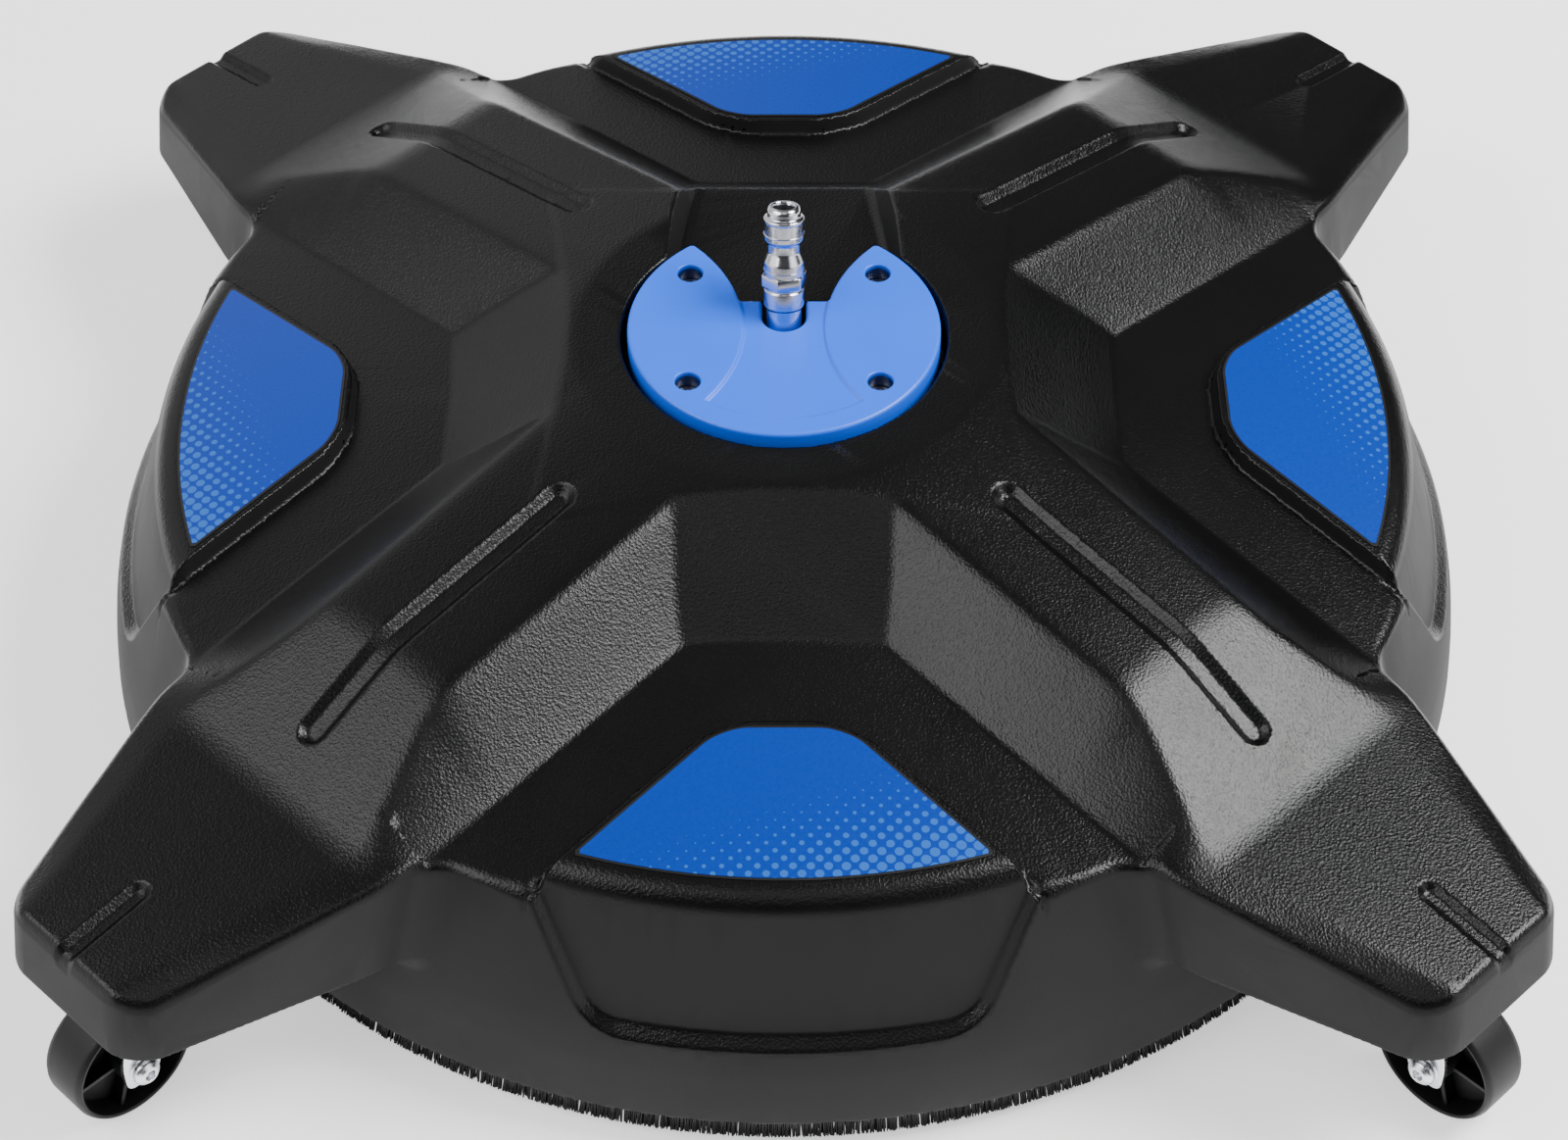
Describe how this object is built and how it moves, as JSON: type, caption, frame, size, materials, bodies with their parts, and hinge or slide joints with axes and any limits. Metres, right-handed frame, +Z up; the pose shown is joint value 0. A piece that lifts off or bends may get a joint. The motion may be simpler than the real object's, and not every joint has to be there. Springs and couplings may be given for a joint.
{
  "type": "pressure-washer surface cleaner",
  "caption": "Round low deck on swivel casters, with a tilting water inlet, a spray bar on a ball-bearing swivel and a bristle skirt under it.",
  "frame": {"origin": "on the floor under the middle of the machine", "axes": "+Z up; -Y the front; +Y the side the inlet leans to; +X the right-hand side seen from the front"},
  "size_m": [0.427, 0.427, 0.1583],
  "materials": {
    "black_shell": "leather-grained",
    "blue_cover": "fine-grained",
    "label": "printed film",
    "zinc": "bright zinc plate",
    "stainless": "turned",
    "bearing_steel": "ground",
    "brass": "turned",
    "seal_rubber": "matte",
    "carrier_plastic": "moulded",
    "bristles": "nylon filament",
    "wheel_plastic": "moulded"
  },
  "bodies": {
    "deck": {"deck_housing": "black_shell", "hub_cover": "blue_cover", "cover_screws": "zinc", "label_front": "label", "label_right": "label", "label_rear": "label", "label_left": "label", "pivot_block": "brass", "pivot_caps": "brass", "swivel_housing": "brass", "swivel_bolts": "zinc", "pressure_seal": "seal_rubber", "upper_outer_race": "bearing_steel", "lower_outer_race": "bearing_steel", "retaining_ring": "zinc", "brush_carrier": "carrier_plastic", "bristle_skirt": "bristles", "skirt_screws": "zinc", "caster_screws": "zinc", "caster_kingpins": "zinc", "caster_plate_front_right": "zinc", "caster_plate_rear_right": "zinc", "caster_plate_rear_left": "zinc", "caster_plate_front_left": "zinc"},
    "inlet": {"inlet_barrel": "brass", "inlet_plug": "stainless", "pivot_orings": "seal_rubber"},
    "rotor": {"rotor_shaft": "stainless", "upper_inner_race": "bearing_steel", "lower_inner_race": "bearing_steel", "bearing_spacer": "stainless", "spray_hub": "stainless", "spray_tube_right": "stainless", "spray_tube_left": "stainless", "nozzle_holder_right": "brass", "nozzle_holder_left": "brass", "nozzle_right": "stainless", "nozzle_left": "stainless"},
    "upper_balls": {"upper_bearing_balls": "bearing_steel"},
    "lower_balls": {"lower_bearing_balls": "bearing_steel"},
    "caster_front_right": {"caster_fork_front_right": "zinc", "caster_axle_front_right": "zinc"},
    "wheel_front_right": {"caster_wheel_front_right": "wheel_plastic"},
    "caster_ring_front_right": {"caster_balls_front_right": "bearing_steel"},
    "caster_rear_right": {"caster_fork_rear_right": "zinc", "caster_axle_rear_right": "zinc"},
    "wheel_rear_right": {"caster_wheel_rear_right": "wheel_plastic"},
    "caster_ring_rear_right": {"caster_balls_rear_right": "bearing_steel"},
    "caster_rear_left": {"caster_fork_rear_left": "zinc", "caster_axle_rear_left": "zinc"},
    "wheel_rear_left": {"caster_wheel_rear_left": "wheel_plastic"},
    "caster_ring_rear_left": {"caster_balls_rear_left": "bearing_steel"},
    "caster_front_left": {"caster_fork_front_left": "zinc", "caster_axle_front_left": "zinc"},
    "wheel_front_left": {"caster_wheel_front_left": "wheel_plastic"},
    "caster_ring_front_left": {"caster_balls_front_left": "bearing_steel"}
  },
  "joints": [
    {"name": "inlet_tilt", "type": "hinge", "parent": "deck", "child": "inlet", "pos_m": [0, 0.0006, 0.105], "axis": [-1, 0, 0], "range_deg": [0, 45]},
    {"name": "rotor_spin", "type": "hinge", "parent": "deck", "child": "rotor", "pos_m": [0, 0, 0.036], "axis": [0, 0, 1], "continuous": true},
    {"name": "upper_ball_orbit", "type": "hinge", "parent": "deck", "child": "upper_balls", "pos_m": [0, 0, 0.07], "axis": [0, 0, 1], "continuous": true},
    {"name": "lower_ball_orbit", "type": "hinge", "parent": "deck", "child": "lower_balls", "pos_m": [0, 0, 0.055], "axis": [0, 0, 1], "continuous": true},
    {"name": "swivel_front_right", "type": "hinge", "parent": "deck", "child": "caster_front_right", "pos_m": [0.17466, -0.17466, 0.0443], "axis": [0, 0, 1], "continuous": true},
    {"name": "ball_orbit_front_right", "type": "hinge", "parent": "deck", "child": "caster_ring_front_right", "pos_m": [0.17466, -0.17466, 0.0443], "axis": [0, 0, 1], "continuous": true},
    {"name": "wheel_spin_front_right", "type": "hinge", "parent": "caster_front_right", "child": "wheel_front_right", "pos_m": [0.18668, -0.18668, 0.02], "axis": [0.7071, 0.7071, 0], "continuous": true},
    {"name": "swivel_rear_right", "type": "hinge", "parent": "deck", "child": "caster_rear_right", "pos_m": [0.17466, 0.17466, 0.0443], "axis": [0, 0, 1], "continuous": true},
    {"name": "ball_orbit_rear_right", "type": "hinge", "parent": "deck", "child": "caster_ring_rear_right", "pos_m": [0.17466, 0.17466, 0.0443], "axis": [0, 0, 1], "continuous": true},
    {"name": "wheel_spin_rear_right", "type": "hinge", "parent": "caster_rear_right", "child": "wheel_rear_right", "pos_m": [0.18668, 0.18668, 0.02], "axis": [-0.7071, 0.7071, 0], "continuous": true},
    {"name": "swivel_rear_left", "type": "hinge", "parent": "deck", "child": "caster_rear_left", "pos_m": [-0.17466, 0.17466, 0.0443], "axis": [0, 0, 1], "continuous": true},
    {"name": "ball_orbit_rear_left", "type": "hinge", "parent": "deck", "child": "caster_ring_rear_left", "pos_m": [-0.17466, 0.17466, 0.0443], "axis": [0, 0, 1], "continuous": true},
    {"name": "wheel_spin_rear_left", "type": "hinge", "parent": "caster_rear_left", "child": "wheel_rear_left", "pos_m": [-0.18668, 0.18668, 0.02], "axis": [-0.7071, -0.7071, 0], "continuous": true},
    {"name": "swivel_front_left", "type": "hinge", "parent": "deck", "child": "caster_front_left", "pos_m": [-0.17466, -0.17466, 0.0443], "axis": [0, 0, 1], "continuous": true},
    {"name": "ball_orbit_front_left", "type": "hinge", "parent": "deck", "child": "caster_ring_front_left", "pos_m": [-0.17466, -0.17466, 0.0443], "axis": [0, 0, 1], "continuous": true},
    {"name": "wheel_spin_front_left", "type": "hinge", "parent": "caster_front_left", "child": "wheel_front_left", "pos_m": [-0.18668, -0.18668, 0.02], "axis": [0.7071, -0.7071, 0], "continuous": true}
  ],
  "couplings": [
    {"joint": "upper_ball_orbit", "follows": "rotor_spin", "ratio": 0.381},
    {"joint": "lower_ball_orbit", "follows": "rotor_spin", "ratio": 0.381},
    {"joint": "ball_orbit_front_right", "follows": "swivel_front_right", "ratio": 0.5},
    {"joint": "ball_orbit_rear_right", "follows": "swivel_rear_right", "ratio": 0.5},
    {"joint": "ball_orbit_rear_left", "follows": "swivel_rear_left", "ratio": 0.5},
    {"joint": "ball_orbit_front_left", "follows": "swivel_front_left", "ratio": 0.5}
  ]
}
